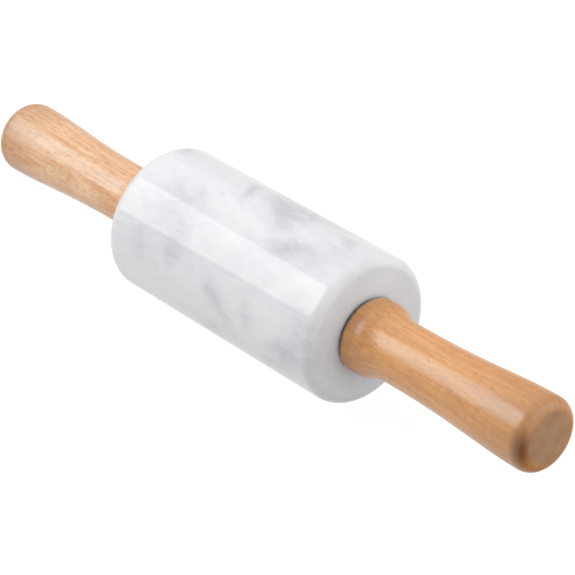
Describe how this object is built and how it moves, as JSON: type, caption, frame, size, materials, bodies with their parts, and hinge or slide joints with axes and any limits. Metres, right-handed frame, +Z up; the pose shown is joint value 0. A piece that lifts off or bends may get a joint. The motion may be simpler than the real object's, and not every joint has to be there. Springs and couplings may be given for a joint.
{
  "type": "rolling pin",
  "caption": "Small rolling pin with a polished marble barrel that spins on ball bearings between turned beech handles.",
  "frame": {"origin": "centre of the barrel, on the spin axis", "axes": "+X along the spin axis to the right handle, +Z up when the pin lies on a table"},
  "size_m": [0.256, 0.05, 0.05],
  "materials": {
    "marble": "polished white marble with soft grey clouds",
    "beech": "turned beech under a satin varnish",
    "axle_steel": "turned",
    "spacer_aluminium": "satin",
    "insert_brass": "turned",
    "zinc_steel": "zinc plated",
    "black_nylon": "matt",
    "bearing_steel": "ground and polished",
    "shield_steel": "pressed",
    "cage_nylon": "natural nylon",
    "cup_nylon": "natural nylon"
  },
  "bodies": {
    "handles_and_axle": {"axle_rod": "axle_steel", "spacer_tube": "spacer_aluminium", "handle_right": "beech", "handle_left": "beech", "threaded_insert_right": "insert_brass", "threaded_insert_left": "insert_brass", "lock_nut_right": "zinc_steel", "lock_nut_left": "zinc_steel", "dust_washer_right": "black_nylon", "dust_washer_left": "black_nylon", "thrust_washer_right": "zinc_steel", "thrust_washer_left": "zinc_steel", "bearing_inner_ring_right": "bearing_steel", "bearing_inner_ring_left": "bearing_steel"},
    "barrel": {"marble_barrel": "marble", "bearing_cup_right": "cup_nylon", "bearing_cup_left": "cup_nylon", "bearing_outer_ring_right": "bearing_steel", "bearing_outer_ring_left": "bearing_steel", "bearing_outer_shield_right": "shield_steel", "bearing_outer_shield_left": "shield_steel", "bearing_inner_shield_right": "shield_steel", "bearing_inner_shield_left": "shield_steel"},
    "cage_right": {"bearing_cage_right": "cage_nylon", "bearing_balls_right": "bearing_steel"},
    "cage_left": {"bearing_cage_left": "cage_nylon", "bearing_balls_left": "bearing_steel"}
  },
  "joints": [
    {"name": "barrel_spin", "type": "hinge", "parent": "handles_and_axle", "child": "barrel", "pos_m": [0, 0, 0], "axis": [1, 0, 0], "continuous": true},
    {"name": "cage_right_spin", "type": "hinge", "parent": "handles_and_axle", "child": "cage_right", "pos_m": [0, 0, 0], "axis": [1, 0, 0], "continuous": true},
    {"name": "cage_left_spin", "type": "hinge", "parent": "handles_and_axle", "child": "cage_left", "pos_m": [0, 0, 0], "axis": [1, 0, 0], "continuous": true}
  ],
  "couplings": [
    {"joint": "cage_right_spin", "follows": "barrel_spin", "ratio": 0.61111},
    {"joint": "cage_left_spin", "follows": "barrel_spin", "ratio": 0.61111}
  ]
}
